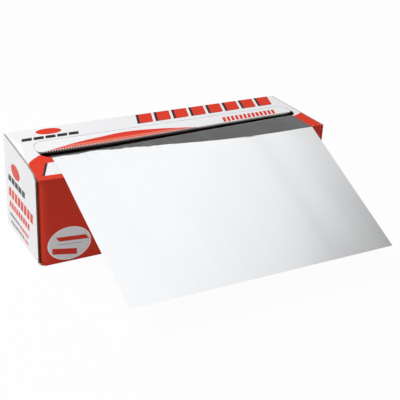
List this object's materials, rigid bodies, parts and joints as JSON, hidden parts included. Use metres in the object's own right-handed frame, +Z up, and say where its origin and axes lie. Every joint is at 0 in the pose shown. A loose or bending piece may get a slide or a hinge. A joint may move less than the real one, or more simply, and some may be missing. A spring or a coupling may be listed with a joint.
{
  "type": "aluminium foil roll in dispensing carton",
  "caption": "Long card carton with a roll of kitchen foil inside; the web leaves a slot under a toothed flap in the top and slopes down in front.",
  "frame": {"origin": "centre of the carton's underside", "axes": "+X along the carton, -Y its front, over which the foil is drawn, +Z up"},
  "size_m": [0.346, 0.2691, 0.1096],
  "materials": {
    "printed_card": "coated white card with red print",
    "flap_card": "coated white card with red print",
    "cutter_steel": "thin bright strip",
    "foil": "bright foil",
    "core_card": "spiral-wound brown card"
  },
  "bodies": {
    "carton": {"carton": "printed_card", "foil": "foil", "core": "core_card"},
    "flap": {"flap": "flap_card", "cutter": "cutter_steel"}
  },
  "joints": [
    {"name": "flap_hinge", "type": "hinge", "parent": "carton", "child": "flap", "pos_m": [0.004, 0.0175, 0.109], "axis": [-1, 0, 0], "range_deg": [0, 110]}
  ]
}
